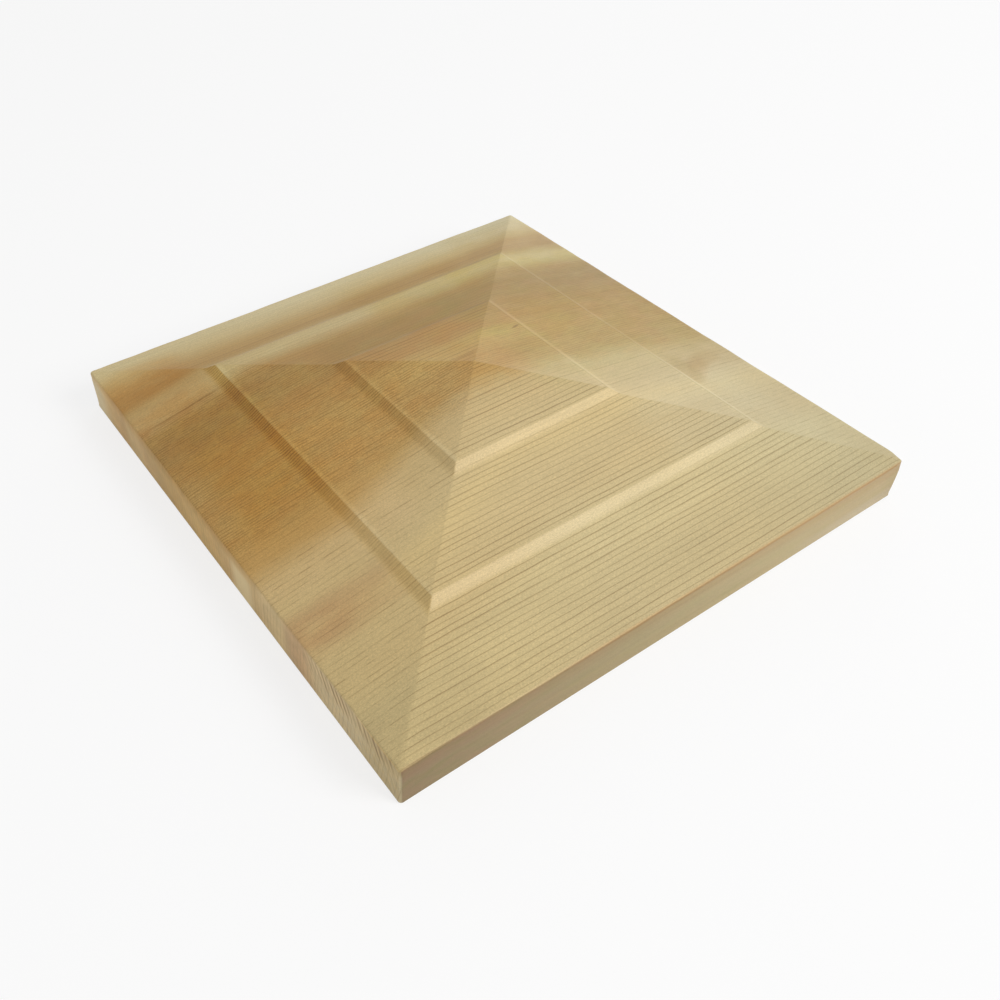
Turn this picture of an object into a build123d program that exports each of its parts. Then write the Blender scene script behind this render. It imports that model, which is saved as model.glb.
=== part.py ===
from build123d import *
import os

# Pyramid post cap, worked from one square block of softwood.
# Millimetres, +Z up. The origin is the middle of the underside, and the grain runs along X.

# Block
cap_width = 150.0
edge_height = 12.0
eased_corner_radius = 0.8
eased_arris_radius = 0.5

# Tiers: the square arris of each step, and the rises from the edge to the point
lower_tier_width = 97.0
upper_tier_width = 47.0
lower_slope_rise = 5.4
upper_slope_rise = 4.0
point_rise = 3.9

# Cove that turns the top of each slope up into its step
step_rise = 1.6
step_run = 2.2

# Recess in the underside, which drops over the end of the post
post_width = 89.0
post_clearance = 1.5
recess_depth = 6.0
recess_corner_radius = 4.0

# Places on the profile, measured out and up from the middle of the underside
edge_out = cap_width / 2
lower_arris_out = lower_tier_width / 2
upper_arris_out = upper_tier_width / 2
lower_foot_height = edge_height + lower_slope_rise
lower_arris_height = lower_foot_height + step_rise
upper_foot_height = lower_arris_height + upper_slope_rise
upper_arris_height = upper_foot_height + step_rise
point_height = upper_arris_height + point_rise
recess_width = post_width + 2 * post_clearance

with BuildPart() as post_cap:
    # The same profile is run across the block both ways, and where the runs meet they mitre
    for run_plane, run_mode in ((Plane.XZ, Mode.ADD), (Plane.YZ, Mode.INTERSECT)):
        with BuildSketch(run_plane) as profile:
            with BuildLine():
                Polyline((0, 0), (edge_out, 0), (edge_out, edge_height))
                lower_slope = Line(
                    (edge_out, edge_height),
                    (lower_arris_out + step_run, lower_foot_height),
                )
                TangentArc(
                    lower_slope @ 1,
                    (lower_arris_out, lower_arris_height),
                    tangent=lower_slope % 1,
                )
                upper_slope = Line(
                    (lower_arris_out, lower_arris_height),
                    (upper_arris_out + step_run, upper_foot_height),
                )
                TangentArc(
                    upper_slope @ 1,
                    (upper_arris_out, upper_arris_height),
                    tangent=upper_slope % 1,
                )
                Line((upper_arris_out, upper_arris_height), (0, point_height))
                mirror(about=Plane.YZ)
            make_face()
            # The edge's upper and lower arrises, sanded round
            across = profile.vertices().group_by(Axis.X)
            fillet(across[0] + across[-1], radius=eased_arris_radius)
        extrude(amount=edge_out, both=True, mode=run_mode)

    # Upright corners, sanded round
    with BuildSketch(Plane.XY):
        RectangleRounded(cap_width, cap_width, eased_corner_radius)
    extrude(amount=point_height, mode=Mode.INTERSECT)

    # Post recess, its corners left round by the cutter
    with BuildSketch(Plane.XY):
        RectangleRounded(recess_width, recess_width, recess_corner_radius)
    extrude(amount=recess_depth, mode=Mode.SUBTRACT)

post_cap.part.label = "post_cap"

os.makedirs("parts", exist_ok=True)
export_step(post_cap.part, "parts/post_cap.step")
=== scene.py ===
import math

import bpy
from mathutils import Matrix, Vector


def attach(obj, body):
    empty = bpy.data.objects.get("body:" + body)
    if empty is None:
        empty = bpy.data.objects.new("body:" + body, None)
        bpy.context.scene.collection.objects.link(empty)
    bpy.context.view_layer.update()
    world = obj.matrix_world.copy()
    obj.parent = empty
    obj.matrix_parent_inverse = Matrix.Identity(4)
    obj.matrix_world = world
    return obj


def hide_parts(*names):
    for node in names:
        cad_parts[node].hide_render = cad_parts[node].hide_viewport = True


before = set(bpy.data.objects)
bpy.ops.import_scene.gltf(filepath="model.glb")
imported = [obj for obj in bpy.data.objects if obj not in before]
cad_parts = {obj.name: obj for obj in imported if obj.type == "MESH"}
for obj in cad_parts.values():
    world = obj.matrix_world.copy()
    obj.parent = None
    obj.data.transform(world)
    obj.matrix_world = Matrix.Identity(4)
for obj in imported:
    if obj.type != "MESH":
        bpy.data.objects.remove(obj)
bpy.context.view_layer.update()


# ---- The cap ----------------------------------------------------------------------------------
# One square block of softwood, its growth lines running along X. Each side is worked with the same
# cutters: a slope, a small step with a rounded foot, a flatter slope and step, and a low point. The
# four sides meet on mitred hips, the arrises are sanded, and the underside has a shallow recess.


class Flow:
    """A value in a node tree. Python's own signs on it add the Math nodes that work it out."""

    def __init__(self, tree, socket=None):
        self.tree, self.socket = tree, socket

    def node(self, kind, settings=None, inputs=None, output=None):
        """Adds a node: its settings first, then the values or links of its sockets."""
        new = self.tree.nodes.new(kind)
        for setting, value in (settings or {}).items():
            if setting == "stops":
                for place, tone in value[1:-1]:
                    new.color_ramp.elements.new(place)
                for stop, (place, tone) in zip(new.color_ramp.elements, value):
                    stop.position = place
                    stop.color = (*tone, 1) if isinstance(tone, tuple) else (tone, tone, tone, 1)
            elif setting == "items":
                while len(new.index_switch_items) < value:
                    new.index_switch_items.new()
            else:
                setattr(new, setting, value)
        open_sockets = [s for s in new.inputs if s.enabled]
        for name, value in (inputs or {}).items():
            if isinstance(name, int):
                socket = open_sockets[name]
            else:
                socket = next(s for s in open_sockets if s.name == name)
            if isinstance(value, Flow):
                self.tree.links.new(value.socket, socket)
            else:
                socket.default_value = value
        results = [s for s in new.outputs if s.enabled]
        if output is not None:
            results = [s for s in results if s.name == output]
        return Flow(self.tree, results[0])

    def other(self, output):
        """Another output of the node that this value comes from."""
        return Flow(self.tree, self.socket.node.outputs[output])

    def math(self, operation, *others):
        """A Math node that works on this value first, and then on any others."""
        values = dict(enumerate((self, *others)))
        return self.node("ShaderNodeMath", {"operation": operation}, values)

    def __add__(self, value):
        return self.math("ADD", value)

    def __sub__(self, value):
        return self.math("SUBTRACT", value)

    def __rsub__(self, value):
        return (-self).math("ADD", value)

    def __mul__(self, value):
        return self.math("MULTIPLY", value)

    def __truediv__(self, value):
        return self.math("DIVIDE", value)

    def __pow__(self, value):
        return self.math("POWER", value)

    def __neg__(self):
        return self.math("MULTIPLY", -1.0)

    __radd__, __rmul__ = __add__, __mul__

    def low(self, value):
        return self.math("MINIMUM", value)

    def high(self, value):
        return self.math("MAXIMUM", value)

    def whole(self):
        return self.math("FLOOR")

    def rise(self, start, end, low=0.0, high=1.0):
        """Climbs smoothly from low to high while this value goes from start to end."""
        return self.node(
            "ShaderNodeMapRange",
            {"interpolation_type": "SMOOTHSTEP"},
            {"Value": self, "From Min": start, "From Max": end, "To Min": low, "To Max": high},
        )

    def band(self, start, full, fading, end):
        """1 while this value is between full and fading, and 0 outside start and end."""
        return self.rise(start, full) * self.rise(fading, end, 1.0, 0.0)

    def vector(self, x, y, z):
        return self.node("ShaderNodeCombineXYZ", None, {"X": x, "Y": y, "Z": z})

    def noise(self, vector, scale, detail=2.0, roughness=0.5):
        """Smooth noise from 0 to 1, the same every time."""
        return self.node(
            "ShaderNodeTexNoise",
            {"noise_dimensions": "3D"},
            {"Vector": vector, "Scale": scale, "Detail": detail, "Roughness": roughness},
        )

    def mix(self, amount, colour, other, blend="MIX"):
        return self.node(
            "ShaderNodeMix",
            {"data_type": "RGBA", "blend_type": blend, "clamp_factor": True},
            {"Factor": amount, "A": colour, "B": other},
        )

    def tint(self, amount, tone):
        """This colour multiplied by a tone, as far as the amount says."""
        tone = tone if isinstance(tone, Flow) else (*tone, 1)
        return self.mix(amount, self, tone, "MULTIPLY")

    def shaded(self, value):
        """This colour multiplied by a plain value."""
        grey = {"Red": value, "Green": value, "Blue": value}
        return self.tint(1.0, self.node("ShaderNodeCombineColor", None, grey))


# The cap's sizes, in millimetres, and the finer ones of its rounding, rows, sanding and wear
MM = 0.001
cap_sizes = {
    "Cap Width": 150.0,
    "Edge Height": 12.0,
    "Lower Tier Width": 97.0,
    "Upper Tier Width": 47.0,
    "Lower Slope Rise": 5.4,
    "Upper Slope Rise": 4.0,
    "Point Rise": 3.9,
    "Step Rise": 1.6,
    "Step Run": 2.2,
    "Edge Rounding": 0.7,
    "Bottom Rounding": 0.35,
    "Arris Rounding": 0.22,
    "Foot Rounding": 3.2,
    "Hip Rounding": 0.3,
    "Corner Rounding": 0.8,
    "Recess Width": 92.0,
    "Recess Depth": 6.0,
    "Recess Corner": 4.0,
    "Row Spacing": 2.2,
    "Sanding Relief": 0.05,
    "Arris Wear": 0.12,
    "Knocked Corner": 0.45,
}

shaping = bpy.data.node_groups.new("shape the cap", "GeometryNodeTree")
for name in cap_sizes:
    shaping.interface.new_socket(name, in_out="INPUT", socket_type="NodeSocketFloat")
shaping.interface.new_socket("Wood", in_out="INPUT", socket_type="NodeSocketMaterial")
shaping.interface.new_socket("Cap", in_out="OUTPUT", socket_type="NodeSocketGeometry")
shape = Flow(shaping)
size = shape.node("NodeGroupInput")

half_width = size.other("Cap Width") / 2
lower_out = size.other("Lower Tier Width") / 2
upper_out = size.other("Upper Tier Width") / 2
step_rise, step_run = size.other("Step Rise"), size.other("Step Run")
edge_up = size.other("Edge Height")
lower_foot_up = edge_up + size.other("Lower Slope Rise")
lower_up = lower_foot_up + step_rise
upper_foot_up = lower_up + size.other("Upper Slope Rise")
upper_up = upper_foot_up + step_rise
point_up = upper_up + size.other("Point Rise")
recess_out = size.other("Recess Width") / 2
recess_up = size.other("Recess Depth")
corner, hip = size.other("Corner Rounding"), size.other("Hip Rounding")
recess_corner = size.other("Recess Corner")
edge_round, arris_round = size.other("Edge Rounding"), size.other("Arris Rounding")
bottom_round = size.other("Bottom Rounding")
foot_round = size.other("Foot Rounding")

# The profile's places from the point out and down to the edge, and back under to the middle: how
# far out, how high, the rounding there, the faces in it, the round of the square in plan, and
# whether it is an outer arris that wears
profile_places = [
    (0.0, point_up, 0.0, 1, hip, 0.0),
    (upper_out, upper_up, arris_round, 5, hip, 1.0),
    (upper_out + step_run, upper_foot_up, foot_round, 9, hip, 0.0),
    (lower_out, lower_up, arris_round, 5, hip, 1.0),
    (lower_out + step_run, lower_foot_up, foot_round, 9, hip, 0.0),
    (half_width, edge_up, edge_round, 7, corner, 1.0),
    (half_width, 0.0, bottom_round, 5, corner, 1.0),
    (recess_out, 0.0, arris_round, 3, recess_corner, 0.0),
    (recess_out, recess_up, arris_round, 3, recess_corner, 0.0),
    (0.0, recess_up, 0.0, 1, recess_corner, 0.0),
]
order = shape.node("GeometryNodeInputIndex")


def by_place(kind, values):
    """The value of each place on the profile, picked by its number in order."""
    picks = {"Index": order}
    picks.update({str(n): value for n, value in enumerate(values)})
    return shape.node("GeometryNodeIndexSwitch", {"data_type": kind, "items": len(values)}, picks)


def keep(geometry, name, value):
    return shape.node(
        "GeometryNodeStoreNamedAttribute",
        {"data_type": "FLOAT", "domain": "POINT"},
        {"Geometry": geometry, "Name": name, "Value": value},
    )


def kept(name):
    return shape.node("GeometryNodeInputNamedAttribute", {"data_type": "FLOAT"}, {"Name": name})


places = shape.node(
    "GeometryNodePoints",
    None,
    {
        "Count": len(profile_places),
        "Position": by_place("VECTOR", [shape.vector(p[0], 0.0, p[1]) for p in profile_places]),
    },
)
for name, column in (("plan round", 4), ("arris", 5)):
    places = keep(places, name, by_place("FLOAT", [p[column] for p in profile_places]))
profile = shape.node("GeometryNodePointsToCurves", None, {"Points": places, "Weight": order})
profile = shape.node(
    "GeometryNodeFilletCurve",
    {"mode": "POLY"},
    {
        "Curve": profile,
        "Count": by_place("INT", [p[3] for p in profile_places]),
        "Radius": by_place("FLOAT", [p[2] for p in profile_places]),
    },
)
profile = keep(profile, "station", order)

# Rows of faces down the profile: close together beside each arris and wider between
here = shape.node("GeometryNodeInputPosition")
following = shape.node(
    "GeometryNodeFieldAtIndex", {"data_type": "FLOAT_VECTOR"}, {"Value": here, "Index": order + 1}
)
run = shape.node(
    "ShaderNodeVectorMath", {"operation": "DISTANCE"}, {0: here, 1: following}, "Value"
)
rows_of_profile = shape.node(
    "GeometryNodeSubdivideCurve",
    None,
    {"Curve": profile, "Cuts": (run / size.other("Row Spacing")).whole()},
)
row_count = shape.node(
    "GeometryNodeAttributeDomainSize",
    {"component": "CURVE"},
    {"Geometry": rows_of_profile},
    "Point Count",
)

# One side of the cap is a net of rows and columns; its columns crowd towards the two hips
FLAT_COLUMNS, HIP_COLUMNS = 48, 3
net = shape.node(
    "GeometryNodeMeshGrid",
    None,
    {"Vertices X": FLAT_COLUMNS + 2 * HIP_COLUMNS + 1, "Vertices Y": row_count},
    "Mesh",
)
column = ((order + 0.5) / row_count).whole()
row = order - column * row_count


def at_row(curve, kind, value, index):
    return shape.node(
        "GeometryNodeSampleIndex",
        {"data_type": kind, "clamp": True},
        {"Geometry": curve, "Value": value, "Index": index},
    )


# Each row lies between two places of the profile, crowded towards both
station = at_row(rows_of_profile, "FLOAT", kept("station"), row)
station_before = (station + 0.001).whole()
between = (station - station_before).high(0.0)
between = 0.5 - 0.5 * (between * math.pi).math("COSINE")
start, end = (
    shape.node(
        "ShaderNodeSeparateXYZ",
        None,
        {"Vector": at_row(profile, "FLOAT_VECTOR", here, station_before + n)},
    )
    for n in (0, 1)
)
out = start.other("X") + (end.other("X") - start.other("X")) * between
up = start.other("Z") + (end.other("Z") - start.other("Z")) * between
plan_round = at_row(rows_of_profile, "FLOAT", kept("plan round"), row).low(out)

# Each column lies on the flat part of the side, or turns with the round of the hip at its ends
flat_part = ((column - HIP_COLUMNS) / FLAT_COLUMNS).high(0.0).low(1.0)
along = -(flat_part * math.pi).math("COSINE")
past_flat = ((column - HIP_COLUMNS - FLAT_COLUMNS) / HIP_COLUMNS).high(0.0)
before_flat = ((HIP_COLUMNS - column) / HIP_COLUMNS).high(0.0)
turned = (past_flat - before_flat) * (math.pi / 4)
straight = out - plan_round
side = shape.node(
    "GeometryNodeSetPosition",
    None,
    {
        "Geometry": net,
        "Position": shape.vector(
            straight + plan_round * turned.math("COSINE"),
            straight * along + plan_round * turned.math("SINE"),
            up,
        ),
    },
)
side = keep(side, "arris", at_row(rows_of_profile, "FLOAT", kept("arris"), row))

# Four such sides, a quarter turn apart, sewn along the hips
side_count, sewing_gap = 4, 0.002 * MM
quarter_turns = shape.node(
    "FunctionNodeEulerToRotation", None, {"Euler": shape.vector(0.0, 0.0, order * (math.pi / 2))}
)
middle_points = shape.node("GeometryNodePoints", None, {"Count": side_count})
sides = shape.node(
    "GeometryNodeInstanceOnPoints",
    None,
    {"Points": middle_points, "Instance": side, "Rotation": quarter_turns},
)
cap = shape.node("GeometryNodeRealizeInstances", None, {"Geometry": sides})
cap = shape.node("GeometryNodeMergeByDistance", None, {"Geometry": cap, "Distance": sewing_gap})
cap = shape.node("GeometryNodeFlipFaces", None, {"Mesh": cap})

# Sanding: the flats lose a little here and there, and the outer arrises a little more. One corner
# has had a knock. All this only ever takes wood off, and leaves the underside flat
sanding_waves, wear_waves = 45.0, 130.0
knock_reach, flat_underside = 4.5 * MM, 1.0 * MM
place = shape.node("ShaderNodeSeparateXYZ", None, {"Vector": here})
near_arris = kept("arris").rise(0.8, 1.0)
taken = size.other("Sanding Relief") * shape.noise(here, sanding_waves, 1.0).rise(0.3, 0.7)
worn = shape.noise(here, wear_waves, 2.0).rise(0.35, 0.75)
taken = taken + size.other("Arris Wear") * near_arris * worn
knock = (
    (place.other("X") - half_width) ** 2
    + (place.other("Y") + half_width) ** 2
    + (place.other("Z") - edge_up) ** 2
)
taken = taken + size.other("Knocked Corner") * knock.math("SQRT").rise(0.0, knock_reach, 1.0, 0.0)
taken = taken * place.other("Z").rise(0.0, flat_underside)
inwards = shape.node(
    "ShaderNodeVectorMath",
    {"operation": "SCALE"},
    {"Vector": shape.node("GeometryNodeInputNormal"), "Scale": -taken},
)
cap = shape.node("GeometryNodeSetPosition", None, {"Geometry": cap, "Offset": inwards})
facing = shape.node("GeometryNodeInputNormal")
facing = shape.node("ShaderNodeSeparateXYZ", None, {"Vector": facing})
cap = keep(cap, "end grain", facing.other("X").math("ABSOLUTE").rise(0.6, 0.95))
cap = keep(cap, "side grain", facing.other("Y").math("ABSOLUTE").rise(0.6, 0.95))
cap = shape.node("GeometryNodeSetShadeSmooth", None, {"Geometry": cap})
cap = shape.node("GeometryNodeSetMaterial", None, {"Geometry": cap, "Material": size.other("Wood")})
finished = shaping.nodes.new("NodeGroupOutput")
shaping.links.new(cap.socket, finished.inputs[0])

# Wood: pale straw sapwood with a band of brown heartwood, and fine growth lines, all of it solid
# right through the block, so it is read from the place in the block, in millimetres
softwood = bpy.data.materials.new("sanded softwood")
softwood.use_nodes = True
finish = softwood.node_tree.nodes["Principled BSDF"]
wood = Flow(softwood.node_tree)
block = wood.node("ShaderNodeTexCoord", None, None, "Object")
block = wood.node(
    "ShaderNodeVectorMath", {"operation": "SCALE"}, {"Vector": block, "Scale": 1 / MM}
)
block = wood.node("ShaderNodeSeparateXYZ", None, {"Vector": block})
x, y, z = (block.other(axis) for axis in "XYZ")
block_width = cap_sizes["Cap Width"]
half_block = block_width / 2
along_block = (x + half_block) / block_width


def worked_face(name):
    return wood.node("ShaderNodeAttribute", {"attribute_name": name}, None, "Fac")


def block_noise(along, across, upwards, detail, roughness=0.5):
    """Smooth noise from 0 to 1, by how fast it changes along X, Y and Z."""
    waves = wood.vector(x * along, y * across, z * upwards)
    return wood.noise(waves, 1.0, detail, roughness)


end_grain, side_grain = worked_face("end grain"), worked_face("side grain")

# Tones across the board, each from its place along Y. The heartwood is wider at both ends
edge_sap = (0.60, 0.48, 0.25)
straw = (0.65, 0.525, 0.275)
warm_straw = (0.655, 0.51, 0.26)
bright_straw = (0.71, 0.55, 0.27)
dull_straw = (0.625, 0.46, 0.215)
heart_rim = (0.54, 0.34, 0.113)
warm_heart = (0.53, 0.312, 0.091)
heart = (0.485, 0.28, 0.078)
dark_heart = (0.42, 0.248, 0.072)
heart_edge = (0.47, 0.285, 0.085)
pale_streak = (0.61, 0.475, 0.225)
tan = (0.475, 0.295, 0.095)
warm_tan = (0.53, 0.345, 0.12)
sap = (0.65, 0.51, 0.245)
pale_sap = (0.715, 0.60, 0.335)
tones = (
    (-75, edge_sap), (-70, edge_sap), (-58, straw), (-50, straw), (-42, warm_straw),
    (-35, warm_straw), (-27, bright_straw), (-22, warm_straw), (-10, dull_straw), (-4, heart_rim),
    (8, warm_heart), (20, heart), (28, dark_heart), (34, dark_heart), (38, heart_edge),
    (44, pale_streak), (47, pale_streak), (53, tan), (58, warm_tan), (65, sap), (71, pale_sap),
    (75, pale_sap),
)
drift = (block_noise(0.03, 0.06, 0.06, 3.0) - 0.5) * 3.5
heart_spread = 12.0 * x.rise(-55.0, -5.0, 1.0, 0.0) + 4.5 * x.rise(10.0, 70.0)
board_place = y + heart_spread * y.rise(-5.0, 25.0, 1.0, 0.0) + drift + half_block
colour = wood.node(
    "ShaderNodeValToRGB",
    {"stops": [((place + half_block) / block_width, tone) for place, tone in tones]},
    {"Fac": board_place / block_width},
)

# Warmer at the -X end and greyer at the +X end
along_tones = {
    "stops": [
        (0.10, (0.97, 0.935, 0.85)), (0.43, (1.0, 1.0, 1.0)), (0.67, (1.0, 1.0, 1.0)),
        (0.92, (0.91, 0.96, 1.03)), (1.0, (0.87, 0.90, 0.93)),
    ]
}
colour = colour.tint(1.0, wood.node("ShaderNodeValToRGB", along_tones, {"Fac": along_block}))

# Stains and streaks that lie along the grain, with ragged sides: the middle and the reach of each
# across the board, its two ends along it, and its tint
ragged = block_noise(0.09, 0.22, 0.1, 3.0).rise(0.32, 0.62, 0.55, 1.0)
end_blur = 5.0
for centre, reach, left, right, tone in (
    (-38, 8, -82, -50, (0.88, 0.80, 0.78)),  # pink stain
    (-38.5, 9, -82, -62, (0.94, 0.88, 0.87)),  # pinker beside the arris
    (-20, 14, -82, -37, (1.07, 1.07, 1.13)),  # pale band of the -X end
    (-70, 14, -82, -50, (0.89, 0.89, 0.90)),  # dull corner
    (29, 6, -62, -28, (1.06, 1.11, 1.09)),  # yellow streak of the -X face
    (59, 12, -82, -54, (0.95, 0.79, 0.60)),  # orange stain
    (44, 7, -82, -52, (0.92, 0.75, 0.60)),  # dim streak
    (16, 38, -70, -47, (0.99, 0.94, 0.73)),  # browner heart of the outer slope
    (8, 16, -82, -68, (1.03, 1.11, 1.33)),  # paler heart beside the arris
    (16, 36, -51, -28, (1.05, 1.07, 1.11)),  # brighter heart of the second slope
    (8.5, 7, -60, 40, (1.05, 1.09, 1.11)),  # pale streak through the heart
    (8, 6.5, -16, 20, (1.03, 1.13, 1.24)),  # paler still by the point
    (31, 10, -24, 20, (0.93, 0.99, 0.93)),  # olive heart
    (14, 42, 12, 90, (0.90, 1.0, 0.90)),  # faded heart
    (14, 42, 50, 90, (0.98, 0.94, 0.80)),  # greyer heart of the +X end
    (32, 48, -2, 90, (0.96, 0.92, 0.72)),  # brown tinge
    (34, 38, 26, 90, (0.99, 0.955, 0.74)),  # browner further out
    (54, 8, -8, 90, (0.91, 0.88, 0.76)),  # brown streak behind
    (66, 13, 44, 90, (0.94, 0.90, 0.80)),  # warm sap of the +X end
    (-38, 16, 24, 62, (1.02, 1.05, 1.11)),  # pale sap of the +X end
    (-54.5, 6, -10, 80, (1.06, 1.07, 1.08)),  # bright sap below the step
    (-18.5, 9, 50, 90, (0.92, 0.88, 0.83)),  # dull patch of the +X end
):
    across_it = (y - centre).math("ABSOLUTE").rise(0.35 * reach, reach, 1.0, 0.0)
    along_it = x.band(left - end_blur, left + end_blur, right - end_blur, right + end_blur)
    colour = colour.tint(across_it * along_it * ragged, tone)

# Which way a face of the top looks, and the risers of the two steps
outwards = x.math("ABSOLUTE").high(y.math("ABSOLUTE"))
topside = z.rise(8.0, 10.0)
faces_left = (-x - y.math("ABSOLUTE")).rise(-0.4, 0.4) * topside
faces_right = (x - y.math("ABSOLUTE")).rise(-0.4, 0.4) * topside
faces_along = 1 - faces_left - faces_right
step_places = [
    (cap_sizes[tier] / 2, cap_sizes[tier] / 2 + cap_sizes["Step Run"])
    for tier in ("Lower Tier Width", "Upper Tier Width")
]
risers = [
    outwards.band(arris - 0.1, arris + 0.2, foot - 0.8, foot + 0.6) * topside
    for arris, foot in step_places
]

# Growth lines: they waver a little. Where the cutter ran across them they show less and are broken
# into dashes, and they hardly show on the risers cut along them
year_width, ring_width = 1.43, 0.8
wander = block_noise(0.009, 0.03, 0.03, 2.0)
waver = block_noise(0.13, 0.25, 0.25, 1.0)
across = y + 0.16 * z + 0.002 * x + (wander - 0.5) * 1.8 + (waver - 0.5) * 0.3
unevenness = wood.noise(wood.vector(across * 0.4, 0.0, 0.0), 1.0, 2.0)
years = across / year_width + (across + 20).high(0.0) * 0.05 + (unevenness - 0.5) * 1.2
year = years.whole()
season = years - year
late_wood = wood.node(
    "ShaderNodeValToRGB",
    {
        "stops": [
            (0.0, 0.0), (0.66, 0.0), (0.78, 0.35), (0.845, 1.0), (0.89, 0.5), (0.925, 0.0),
        ]
    },
    {"Fac": season},
)
strength = wood.node("ShaderNodeTexWhiteNoise", {"noise_dimensions": "1D"}, {"W": year}, "Value")
broken_line = wood.noise(wood.vector(x * 0.06, year * 3.7, z * 0.06), 1.0, 2.0)
broken_line = broken_line.rise(0.25, 0.6, 0.5, 1.0)
heartwood = y.band(-18.0, -4.0, 36.0, 50.0)
late_wood = late_wood * (0.6 + 0.4 * strength) * broken_line * y.rise(18.0, 34.0, 1.0, 0.4)
late_wood = late_wood * (0.66 + 0.34 * faces_along + 0.12 * faces_left - 0.16 * faces_right)
dashes = wood.noise(wood.vector(x * 0.22, year * 2.3, 0.0), 1.0, 2.0)
dashes = dashes.rise(0.38, 0.6, 0.75, 0.0)
late_wood = late_wood * (1 - dashes * (1 - faces_along)) * (1 - 0.5 * heartwood * faces_left)
late_wood = late_wood * (1 - 0.8 * faces_along * risers[0].high(risers[1]))

# The rings of the heartwood lie closer, and show as short dark dashes
ring_place = across / ring_width + (unevenness - 0.5) * 1.5 + (waver - 0.5) * 0.5
ring = ring_place.whole()
ring_line = (ring_place - ring).band(0.2, 0.55, 0.55, 0.85)
ring_dashes = wood.noise(wood.vector(x * 0.3, ring * 2.7, z * 0.2), 1.0, 2.0).rise(0.28, 0.6)
ring_marks = ring_line * ring_dashes * heartwood * (0.3 + 0.26 * faces_left) * (1 - faces_along)
late_wood = late_wood.high(ring_marks)
colour = colour.tint(late_wood, (0.43, 0.335, 0.23))

# Marks, each from its middle, half length, half width, slope, how far out it starts and tint: a
# resin line at the -X end, a fleck and a dash beside the point, and at the +X end a brown smear in
# three strokes that begin at the foot of the step
for middle_x, middle_y, half_long, half_wide, slope, inner, tone in (
    (-61.5, 41.2, 11, 0.4, 0.0, 50.0, (0.75, 0.69, 0.60)),  # resin line
    (21.3, 9.6, 1.5, 0.35, 0.3, 0.0, (0.62, 0.53, 0.41)),  # fleck
    (0, 3.9, 4, 0.35, 0.0, 0.0, (0.81, 0.77, 0.70)),  # dash
    (52.5, -23.5, 4.5, 6.0, 0.3, 50.4, (0.91, 0.89, 0.81)),  # smear, wide at the foot
    (56.5, -24.0, 6.5, 3.2, 0.6, 50.4, (0.945, 0.895, 0.83)),  # smear, its steep stroke
    (62.5, -20.4, 8.0, 3.0, 0.2, 50.4, (0.945, 0.90, 0.84)),  # smear, its long stroke
):
    along_mark = (x - middle_x) / half_long
    across_mark = (y - middle_y - slope * (x - middle_x) + (waver - 0.5) * 0.8) / half_wide
    mark = (along_mark ** 2 + across_mark ** 2).rise(0.1, 1.6, 1.0, 0.0)
    mark = mark * topside * outwards.rise(inner, inner + 0.6)
    colour = colour.tint(mark, tone)

# Fibres: fine short streaks along the grain, which are specks where their ends show, and soft
# patches of a yellower and a redder brown in the heartwood
fibres = block_noise(2.2, 5.0, 5.0, 2.0, 0.6)
long_fibres = block_noise(0.05, 1.6, 1.6, 2.0)
mottle = block_noise(0.05, 0.16, 0.16, 2.0)
coarse = 0.72 + 0.4 * heartwood * faces_left - 0.15 * faces_right
shade = 1 + (fibres - 0.5) * coarse + (long_fibres - 0.5) * 0.14 + (mottle - 0.5) * 0.12
colour = colour.shaded(shade)
patches = block_noise(0.11, 0.2, 0.2, 3.0)
colour = colour.tint(heartwood * patches.rise(0.42, 0.62), (1.0, 0.965, 0.92))
colour = colour.tint(heartwood * patches.rise(0.38, 0.58, 1.0, 0.0), (1.0, 1.03, 1.05))

# The steps are cut clean. Along the grain their risers are painted paler, a painted highlight where
# they catch the light, and the risers at the back are painted browner, a painted shade. Across the
# grain, on the -X side, each riser and its foot get a band of painted shade, darker and browner,
# with the growth lines across it as dark ticks, and a pale line of painted highlight on the arris.
# On the
# +X side: a pale band of painted highlight, and a darker line on the arris that dims its highlight
for (arris, foot), on_riser, left_shade_share in zip(step_places, risers, (1.0, 0.3)):
    # Painted shade over each -X riser and its foot, darker and browner, stronger across the
    # heartwood and weaker on the upper step
    left_step_shade = outwards.band(arris, arris + 0.2, arris + 1.6, foot + 1.5)
    left_step_shade = left_step_shade * topside * y.rise(-32.0, 24.0, 0.38, 1.0) * left_shade_share
    # Painted highlight: a pale bluish line just inside each -X arris
    left_arris_highlight = outwards.band(arris - 1.6, arris - 0.3, arris, arris + 0.3) * topside
    left_arris_highlight = left_arris_highlight * faces_left * y.rise(-40.0, -10.0, 0.3, 1.0)
    # Painted shade: a darker line on each +X arris, dimming its highlight
    right_arris_dimming = (outwards - arris).math("ABSOLUTE").rise(0.2, 0.7, 1.0, 0.0)
    # Painted highlight: a pale band over each +X riser and the edge above it
    right_step_highlight = outwards.band(arris - 1.4, arris - 0.2, foot - 0.6, foot + 0.4)
    # Painted shade: the risers at the back made browner towards +X
    behind = on_riser * faces_along * y.rise(0.0, 1.0) * x.rise(-10.0, 35.0)
    # Painted highlight: the risers along the grain made paler and bluer
    colour = colour.tint(on_riser * faces_along, (1.08, 1.08, 1.12))
    # Painted shade in the -X step hollows, with dark ticks of the growth lines across it
    colour = colour.tint(left_step_shade * faces_left, (0.99, 0.87, 0.54))
    colour = colour.tint(left_step_shade * faces_left * ring_line * 0.55, (0.55, 0.43, 0.33))
    colour = colour.tint(left_arris_highlight, (1.11, 1.15, 1.22))
    colour = colour.tint(right_arris_dimming * faces_right, (0.90, 0.895, 0.88))
    colour = colour.tint(right_step_highlight * faces_right, (1.055, 1.06, 1.06))
    colour = colour.tint(behind, (0.90, 0.82, 0.68))

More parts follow.
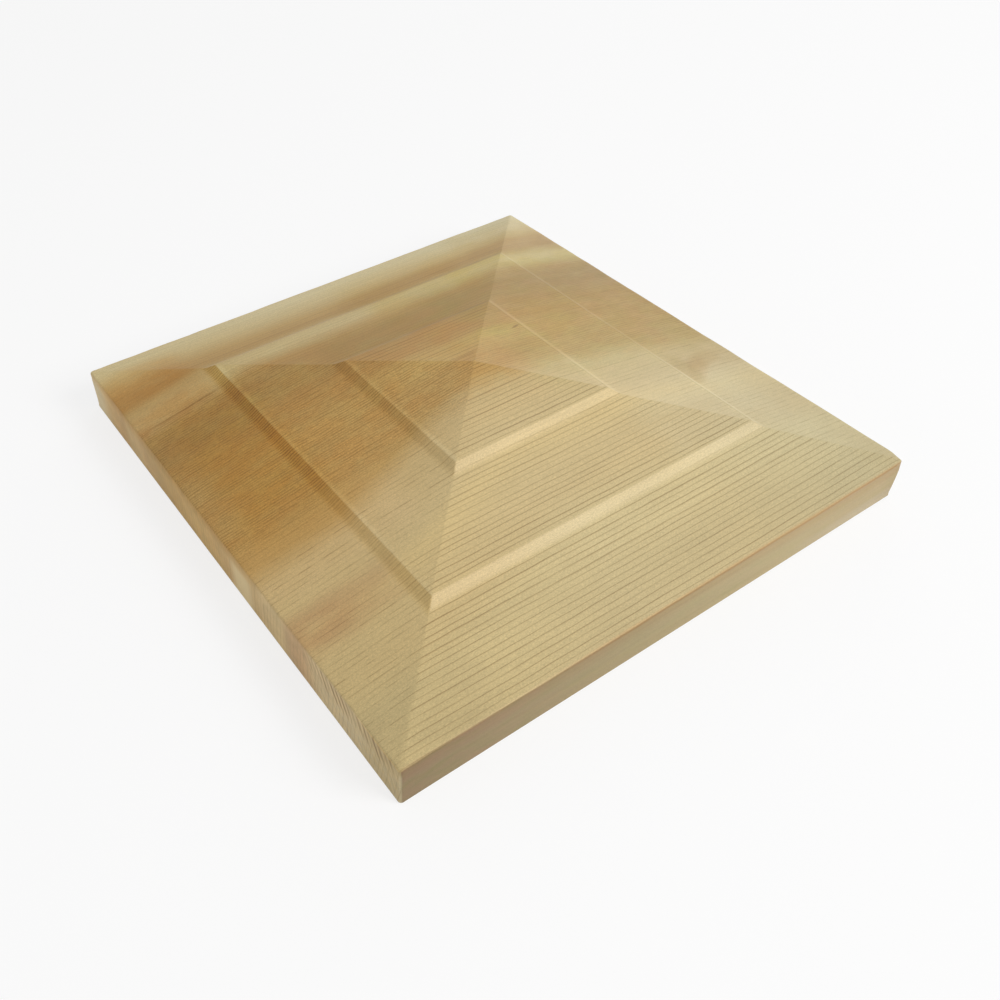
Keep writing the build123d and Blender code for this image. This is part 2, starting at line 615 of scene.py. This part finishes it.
# The sawn ends at the two X sides: the ends of the fibres, lighter and darker along the edge,
# ruffled towards the front corner, and torn there in slanting strokes at the -X end
torn_width = 1.9
blotch = block_noise(0.1, 0.28, 0.28, 2.0)
streaks = wood.noise(wood.vector(x * 0.02, y, (z + 0.02 * x) * 0.9), 1.0, 3.0)
end_tone = wood.mix(0.45, colour, (0.70, 0.53, 0.28, 1))
ruffle = wood.noise(wood.vector(0.0, (y - 0.5 * z) * 1.4, z * 0.2), 1.0, 2.0)
lighten = (1.09 + (blotch - 0.5) * 0.4) * y.rise(-75.0, -56.0, 0.87, 1.0)
lighten = lighten + (ruffle - 0.5) * y.rise(-50.0, -20.0, 0.55, 0.15)
end_tone = end_tone.shaded(lighten)
for centre, reach, tone in (
    (76, 16, (1.04, 1.08, 1.26)),
    (16, 26, (1.03, 1.0, 0.86)),
    (-36, 7, (0.95, 0.90, 0.92)),
    (-52, 16, (1.03, 1.06, 1.16)),
):
    beside = (y - centre).math("ABSOLUTE").rise(0.3 * reach, reach, 1.0, 0.0)
    end_tone = end_tone.tint(beside, tone)
pale_end = (y + 12.0).math("ABSOLUTE").rise(2.0, 7.0, 0.8, 0.0) * z.rise(7.5, 11.0, 1.0, 0.3)
end_tone = wood.mix(pale_end, end_tone, (0.86, 0.69, 0.38, 1))
end_tone = end_tone.tint(z.rise(8.0, 11.6) * y.rise(-24.0, -12.0), (0.92, 0.83, 0.68))
slant = (y - 0.5 * z) / torn_width + blotch * 0.4
stroke = slant.whole()
tear = wood.node("ShaderNodeTexWhiteNoise", {"noise_dimensions": "1D"}, {"W": stroke}, "Value")
tooth = (slant - stroke).band(0.1, 0.45, 0.5, 0.9) * (0.4 + 0.6 * tear)
torn = tooth * (z + tear * 2.5).rise(7.5, 11.0, 0.0, 1.0) * z.rise(11.3, 11.7, 1.0, 0.3)
torn = torn * y.rise(-52.0, -34.0, 1.0, 0.0) * y.rise(-74.0, -71.0) * x.rise(-1.0, 1.0, 1.0, 0.0)
end_tone = end_tone.tint(torn, (0.50, 0.38, 0.31))
grey_fuzz = streaks.rise(0.4, 0.6) * y.rise(-56.0, -40.0, 0.6, 0.0) * z.rise(6.0, 9.0, 1.0, 0.0)
end_tone = end_tone.tint(grey_fuzz, (0.94, 1.00, 1.14))
end_tone = end_tone.tint(z.rise(11.2, 11.7) * y.rise(-66.0, -56.0, 1.0, 0.0), (1.18, 1.13, 1.0))
colour = wood.mix(end_grain, colour, end_tone)

# The sawn edges along the grain: duller and dustier, painted darker towards the -X end and paler
# towards the +X end as painted light that fades along them; mottled pink and a greyed green, and
# browner towards the arris
# The ramp holds the edges' own tone with painted light: darker at the -X end, paler at the +X end
sawn = wood.node(
    "ShaderNodeValToRGB",
    {
        "stops": [
            (0.0, (0.27, 0.20, 0.10)), (0.25, (0.345, 0.27, 0.14)), (0.5, (0.41, 0.33, 0.172)),
            (0.75, (0.47, 0.38, 0.205)), (0.94, (0.475, 0.375, 0.205)),
            (1.0, (0.43, 0.335, 0.175)),
        ]
    },
    {"Fac": along_block},
)
sawn = sawn.shaded(1 + (streaks - 0.5) * 0.22 + (fibres - 0.5) * 0.4)
mottled_end = x.rise(-62.0, -20.0, 1.0, 0.25)
sawn = sawn.tint(blotch.rise(0.42, 0.62) * mottled_end, (1.04, 0.97, 1.05))
sawn = sawn.tint(blotch.rise(0.35, 0.5, 1.0, 0.0) * mottled_end, (0.93, 0.97, 0.92))
sawn = sawn.tint(z.rise(6.5, 10.5), (0.97, 0.90, 0.87))
sawn = sawn.tint(z.rise(2.0, 5.0, 1.0, 0.0) * x.rise(28.0, 60.0), (1.07, 1.13, 1.32))
colour = wood.mix(side_grain, colour, sawn)

# The upright corner at the front left gets a pale line of painted highlight. The arris along the
# grain is a little brown: partly a warmer tone, partly painted shade that dims its highlight
upright = x.math("ABSOLUTE").low(y.math("ABSOLUTE")).rise(74.3, 74.6) * x.rise(0.0, 9.0, 1.0, 0.0)
colour = wood.mix(upright * z.rise(9.0, 11.0, 0.32, 0.0), colour, (0.72, 0.62, 0.40, 1))
# Painted shade, partly: the eased arris along the grain made darker and warmer
eased = outwards.rise(74.2, 74.8) * z.rise(10.9, 11.6)
colour = colour.tint(eased * faces_along * x.rise(-50.0, -10.0, 0.25, 1.0), (0.90, 0.76, 0.63))

# The finish: dry and matt, a little more so on the sawn edges, with the grain barely to be felt
grain_relief = 0.04 * MM
wood.tree.links.new(colour.socket, finish.inputs["Base Color"])
finish.inputs["Specular IOR Level"].default_value = 0.35
matt = 0.5 + 0.12 * late_wood + 0.1 * (fibres - 0.5) + 0.15 * (end_grain + side_grain).low(1.0)
wood.tree.links.new(matt.socket, finish.inputs["Roughness"])
relief = wood.node(
    "ShaderNodeBump",
    None,
    {"Strength": 0.5, "Distance": grain_relief, "Height": fibres * 0.5 + late_wood * 0.5},
)
wood.tree.links.new(relief.socket, finish.inputs["Normal"])

# The tree is run on an empty mesh, and what it makes is kept as a plain mesh
blank = bpy.data.meshes.new("cap blank")
cap_maker = bpy.data.objects.new("cap maker", blank)
bpy.context.scene.collection.objects.link(cap_maker)
working = cap_maker.modifiers.new("shape the cap", "NODES")
working.node_group = shaping
for socket in shaping.interface.items_tree:
    if socket.name in cap_sizes:
        working[socket.identifier] = cap_sizes[socket.name] * MM
    elif socket.name == "Wood":
        working[socket.identifier] = softwood
bpy.context.view_layer.update()
depsgraph = bpy.context.evaluated_depsgraph_get()
worked = bpy.data.meshes.new_from_object(
    cap_maker.evaluated_get(depsgraph), preserve_all_data_layers=True, depsgraph=depsgraph
)
cap_maker.modifiers.remove(working)
bpy.data.objects.remove(cap_maker)
worked.name = "post_cap_wood"
post_cap = bpy.data.objects.new("post_cap_wood", worked)
bpy.context.scene.collection.objects.link(post_cap)
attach(post_cap, "root")
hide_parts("post_cap")

# ---- The floor --------------------------------------------------------------------------------
# A wide white studio table, a hair under the cap. It renders white where the light falls freely,
# and keeps the shadow that the cap casts round its edge.
table_width, table_gap = 6.0, 0.0002
table_glow, glow_share = 1.06, 0.72
table_mesh = bpy.data.meshes.new("table")
half_table = table_width / 2
table_corners = [(-1, -1), (1, -1), (1, 1), (-1, 1)]
table_mesh.from_pydata(
    [(half_table * side_x, half_table * side_y, 0) for side_x, side_y in table_corners],
    [],
    [(0, 1, 2, 3)],
)
table = bpy.data.objects.new("table", table_mesh)
bpy.context.scene.collection.objects.link(table)
table.location.z = -table_gap
white_paint = bpy.data.materials.new("white table")
white_paint.use_nodes = True
tabletop = Flow(white_paint.node_tree)
white_paint.node_tree.nodes.remove(white_paint.node_tree.nodes["Principled BSDF"])
ray = tabletop.node("ShaderNodeLightPath", None, None, "Is Camera Ray")
seen = ray.high(ray.other("Is Glossy Ray"))
painted = tabletop.node("ShaderNodeBsdfDiffuse", None, {"Color": (0.85, 0.85, 0.85, 1)})
glow = tabletop.node("ShaderNodeEmission", None, {"Color": (1, 1, 1, 1), "Strength": table_glow})
table_finish = tabletop.node(
    "ShaderNodeMixShader", None, {0: seen * glow_share, 1: painted, 2: glow}
)
paint_output = white_paint.node_tree.nodes["Material Output"]
tabletop.tree.links.new(table_finish.socket, paint_output.inputs["Surface"])
table_mesh.materials.append(white_paint)

# ---- The light --------------------------------------------------------------------------------
# Soft even studio light: a bright room, which looks pure white, and three square soft boxes, the
# strongest of them at the front right.
room_light = 0.445
box_away, box_width = 1.2, 0.6
room = bpy.data.worlds.new("studio")
bpy.context.scene.world = room
room.use_nodes = True
air = Flow(room.node_tree)
backdrop = room.node_tree.nodes["Background"]
air_ray = air.node("ShaderNodeLightPath", None, None, "Is Camera Ray")
air_seen = air_ray.high(air_ray.other("Is Glossy Ray")).high(air_ray.other("Is Transmission Ray"))
air_strength = room_light + (1 - room_light) * air_seen
air.tree.links.new(air_strength.socket, backdrop.inputs["Strength"])
backdrop.inputs["Color"].default_value = (1, 1, 1, 1)


def soft_box(name, turn, height, strength):
    """A soft box that faces the cap: degrees round from +X, degrees above the table, and watts."""
    lamp = bpy.data.lights.new(name, "AREA")
    lamp.shape, lamp.size = "SQUARE", box_width
    lamp.energy = strength
    stand = bpy.data.objects.new(name, lamp)
    turn, height = math.radians(turn), math.radians(height)
    level = math.cos(height)
    toward = Vector((math.cos(turn) * level, math.sin(turn) * level, math.sin(height)))
    stand.location = box_away * toward
    stand.rotation_euler = toward.to_track_quat("Z", "Y").to_euler()
    bpy.context.scene.collection.objects.link(stand)


soft_box("main soft box", -60, 36, 8.65)
soft_box("low soft box", 40, 12, 2.28)
soft_box("left soft box", 180, 10, 1.04)

# ---- The camera -------------------------------------------------------------------------------
# Held by hand above the cap's front left, a little turned, and framed with the cap off centre. Its
# place is in metres, and its directions are unit vectors in the cap's frame.
camera = bpy.data.cameras.new("camera")
camera.sensor_width = 36.0
camera.lens = 35.506
camera.shift_x = 0.1305
camera.clip_start, camera.clip_end = 0.01, 20.0
camera_stand = bpy.data.objects.new("camera", camera)
right = (0.83196, -0.55436, -0.02287)
forward = (0.38302, 0.60366, -0.69921)
upward = (
    right[1] * forward[2] - right[2] * forward[1],
    right[2] * forward[0] - right[0] * forward[2],
    right[0] * forward[1] - right[1] * forward[0],
)
camera_place = (-0.12922, -0.15298, 0.17552)
camera_stand.matrix_world = Matrix(
    [[right[n], upward[n], -forward[n], camera_place[n]] for n in range(3)] + [[0, 0, 0, 1]]
)
bpy.context.scene.collection.objects.link(camera_stand)
bpy.context.scene.camera = camera_stand
bpy.context.scene.view_settings.view_transform = "Standard"
